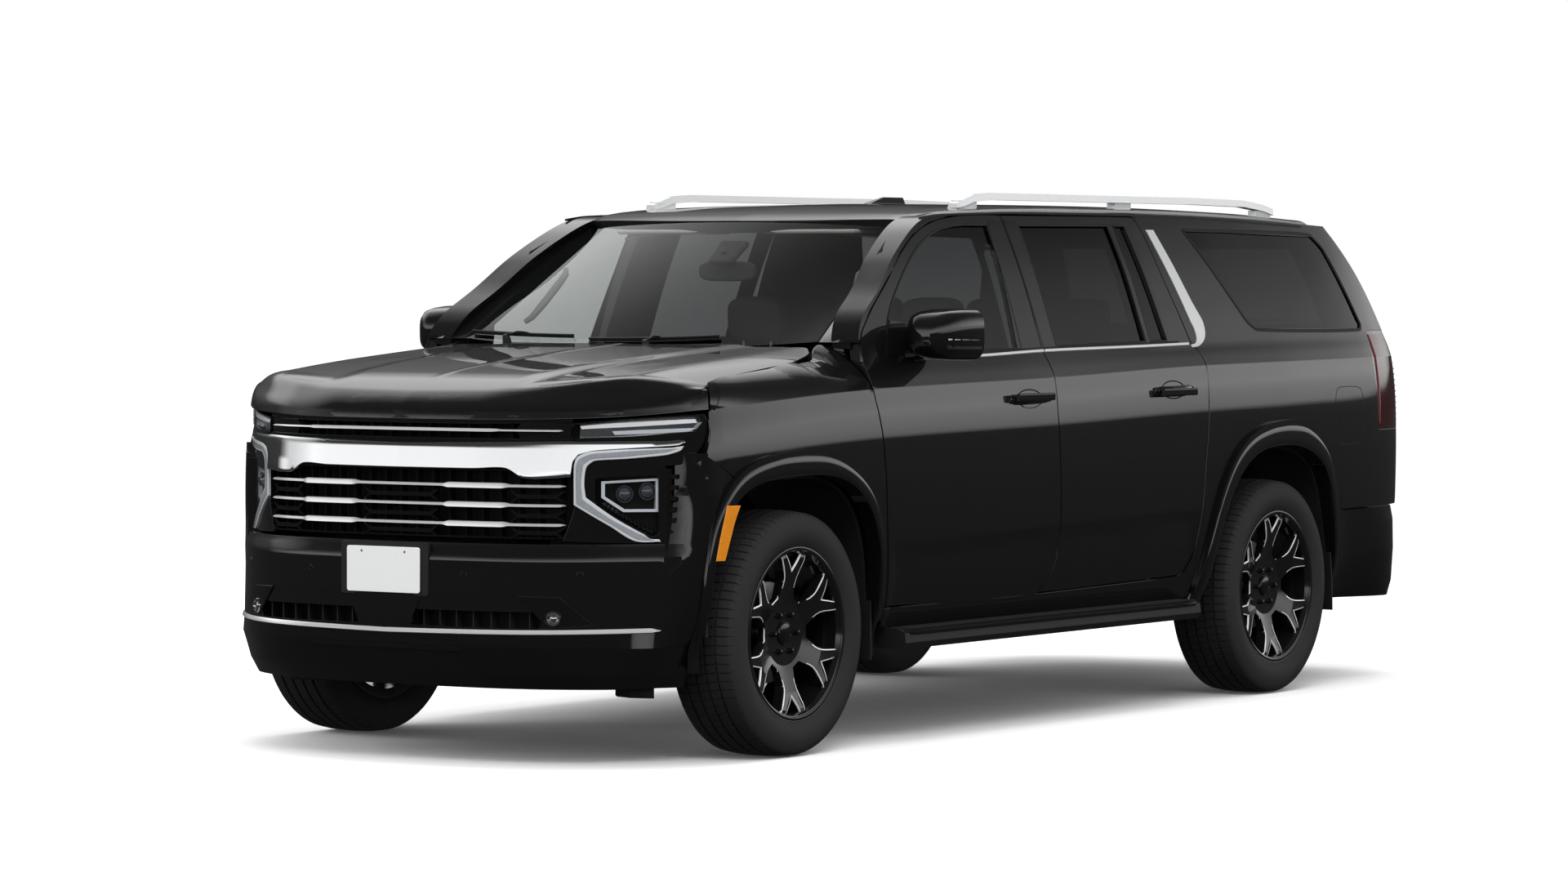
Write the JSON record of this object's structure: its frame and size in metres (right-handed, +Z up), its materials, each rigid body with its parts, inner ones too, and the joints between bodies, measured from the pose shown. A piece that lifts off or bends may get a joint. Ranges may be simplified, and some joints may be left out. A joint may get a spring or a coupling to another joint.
{
  "type": "full-size sport utility vehicle",
  "caption": "Long-wheelbase three-row sport utility vehicle with side doors, hood, liftgate, steered front wheels and a towing receiver.",
  "frame": {"origin": "centre of the overall box on the ground", "axes": "+Z up, nose towards -Y, +X to the driver's (left) side"},
  "size_m": [2.35, 5.7473, 1.9299],
  "materials": {
    "paint": "gloss black paint",
    "chassis": "satin black coating",
    "bright": "polished",
    "satin_rail": "polished anodised",
    "black_plastic": "grained",
    "gloss_black": "gloss",
    "clear_glass": "clear",
    "tinted_glass": "deep tint",
    "lamp_glass": "clear lens over reflectors",
    "red_lens": "red lens",
    "tyre": "tread and sidewall",
    "wheel_metal": "gloss black with machined edges",
    "iron": "as cast",
    "steel": "plain",
    "trim": "soft moulded",
    "seat_trim": "grained, stitched"
  },
  "bodies": {
    "body": {"chassis_frame": "chassis", "floor_pan": "chassis", "body_side_left": "paint", "body_side_right": "paint", "roof": "paint", "windscreen": "clear_glass", "quarter_glass": "tinted_glass", "front_fenders": "paint", "front_bumper": "paint", "grille": "bright", "headlamps": "lamp_glass", "cowl": "black_plastic", "rear_bumper": "paint", "tail_lamps": "red_lens", "running_boards": "black_plastic", "roof_rails": "satin_rail", "wheel_liners": "black_plastic", "engine_block": "iron", "radiator": "black_plastic", "fuel_tank": "black_plastic", "dashboard": "trim", "seats_front": "seat_trim", "seats_rear": "seat_trim", "suspension_front": "iron", "suspension_rear": "iron", "exhaust": "steel"},
    "hood": {"hood": "paint"},
    "liftgate": {"liftgate": "paint", "liftgate_glass": "tinted_glass"},
    "door_front_left": {"door_front_left": "paint", "glass_front_left": "clear_glass", "mirror_left": "gloss_black"},
    "door_front_right": {"door_front_right": "paint", "glass_front_right": "clear_glass", "mirror_right": "gloss_black"},
    "door_rear_left": {"door_rear_left": "paint", "glass_rear_left": "tinted_glass"},
    "door_rear_right": {"door_rear_right": "paint", "glass_rear_right": "tinted_glass"},
    "steering_wheel": {"steering_wheel": "trim"},
    "knuckle_left": {"knuckle_left": "iron"},
    "knuckle_right": {"knuckle_right": "iron"},
    "wheel_front_left": {"wheel_front_left": "wheel_metal", "tyre_front_left": "tyre"},
    "wheel_front_right": {"wheel_front_right": "wheel_metal", "tyre_front_right": "tyre"},
    "wheel_rear_left": {"wheel_rear_left": "wheel_metal", "tyre_rear_left": "tyre"},
    "wheel_rear_right": {"wheel_rear_right": "wheel_metal", "tyre_rear_right": "tyre"}
  },
  "joints": [
    {"name": "door_front_left_swing", "type": "hinge", "parent": "body", "child": "door_front_left", "pos_m": [1.008, -1.368, 0.9], "axis": [0, 0, -1], "range_deg": [0, 65]},
    {"name": "door_front_right_swing", "type": "hinge", "parent": "body", "child": "door_front_right", "pos_m": [-1.008, -1.368, 0.9], "axis": [0, 0, 1], "range_deg": [0, 65]},
    {"name": "door_rear_left_swing", "type": "hinge", "parent": "body", "child": "door_rear_left", "pos_m": [1.008, -0.215, 0.9], "axis": [0, 0, -1], "range_deg": [0, 65]},
    {"name": "door_rear_right_swing", "type": "hinge", "parent": "body", "child": "door_rear_right", "pos_m": [-1.008, -0.215, 0.9], "axis": [0, 0, 1], "range_deg": [0, 65]},
    {"name": "hood_lift", "type": "hinge", "parent": "body", "child": "hood", "pos_m": [0, -1.458, 1.38], "axis": [-1, 0, 0], "range_deg": [0, 48]},
    {"name": "liftgate_lift", "type": "hinge", "parent": "body", "child": "liftgate", "pos_m": [0, 2.232, 1.868], "axis": [1, 0, 0], "range_deg": [0, 82]},
    {"name": "steer_left", "type": "hinge", "parent": "body", "child": "knuckle_left", "pos_m": [0.79, -1.885, 0.417], "axis": [0, 0, 1], "range_deg": [-33, 33]},
    {"name": "steer_right", "type": "hinge", "parent": "body", "child": "knuckle_right", "pos_m": [-0.79, -1.885, 0.417], "axis": [0, 0, 1], "range_deg": [-33, 33]},
    {"name": "steering_wheel_turn", "type": "hinge", "parent": "body", "child": "steering_wheel", "pos_m": [0.39, -0.735, 1.135], "axis": [0, 0.9135, 0.4067], "range_deg": [-560, 560]},
    {"name": "roll_front_left", "type": "hinge", "parent": "knuckle_left", "child": "wheel_front_left", "pos_m": [0.871, -1.885, 0.417], "axis": [1, 0, 0], "continuous": true},
    {"name": "roll_front_right", "type": "hinge", "parent": "knuckle_right", "child": "wheel_front_right", "pos_m": [-0.871, -1.885, 0.417], "axis": [1, 0, 0], "continuous": true},
    {"name": "roll_rear_left", "type": "hinge", "parent": "body", "child": "wheel_rear_left", "pos_m": [0.8685, 1.521, 0.417], "axis": [1, 0, 0], "continuous": true},
    {"name": "roll_rear_right", "type": "hinge", "parent": "body", "child": "wheel_rear_right", "pos_m": [-0.8685, 1.521, 0.417], "axis": [1, 0, 0], "continuous": true}
  ],
  "couplings": [
    {"joint": "steer_right", "follows": "steer_left", "ratio": 1},
    {"joint": "steering_wheel_turn", "follows": "steer_left", "ratio": 16}
  ]
}
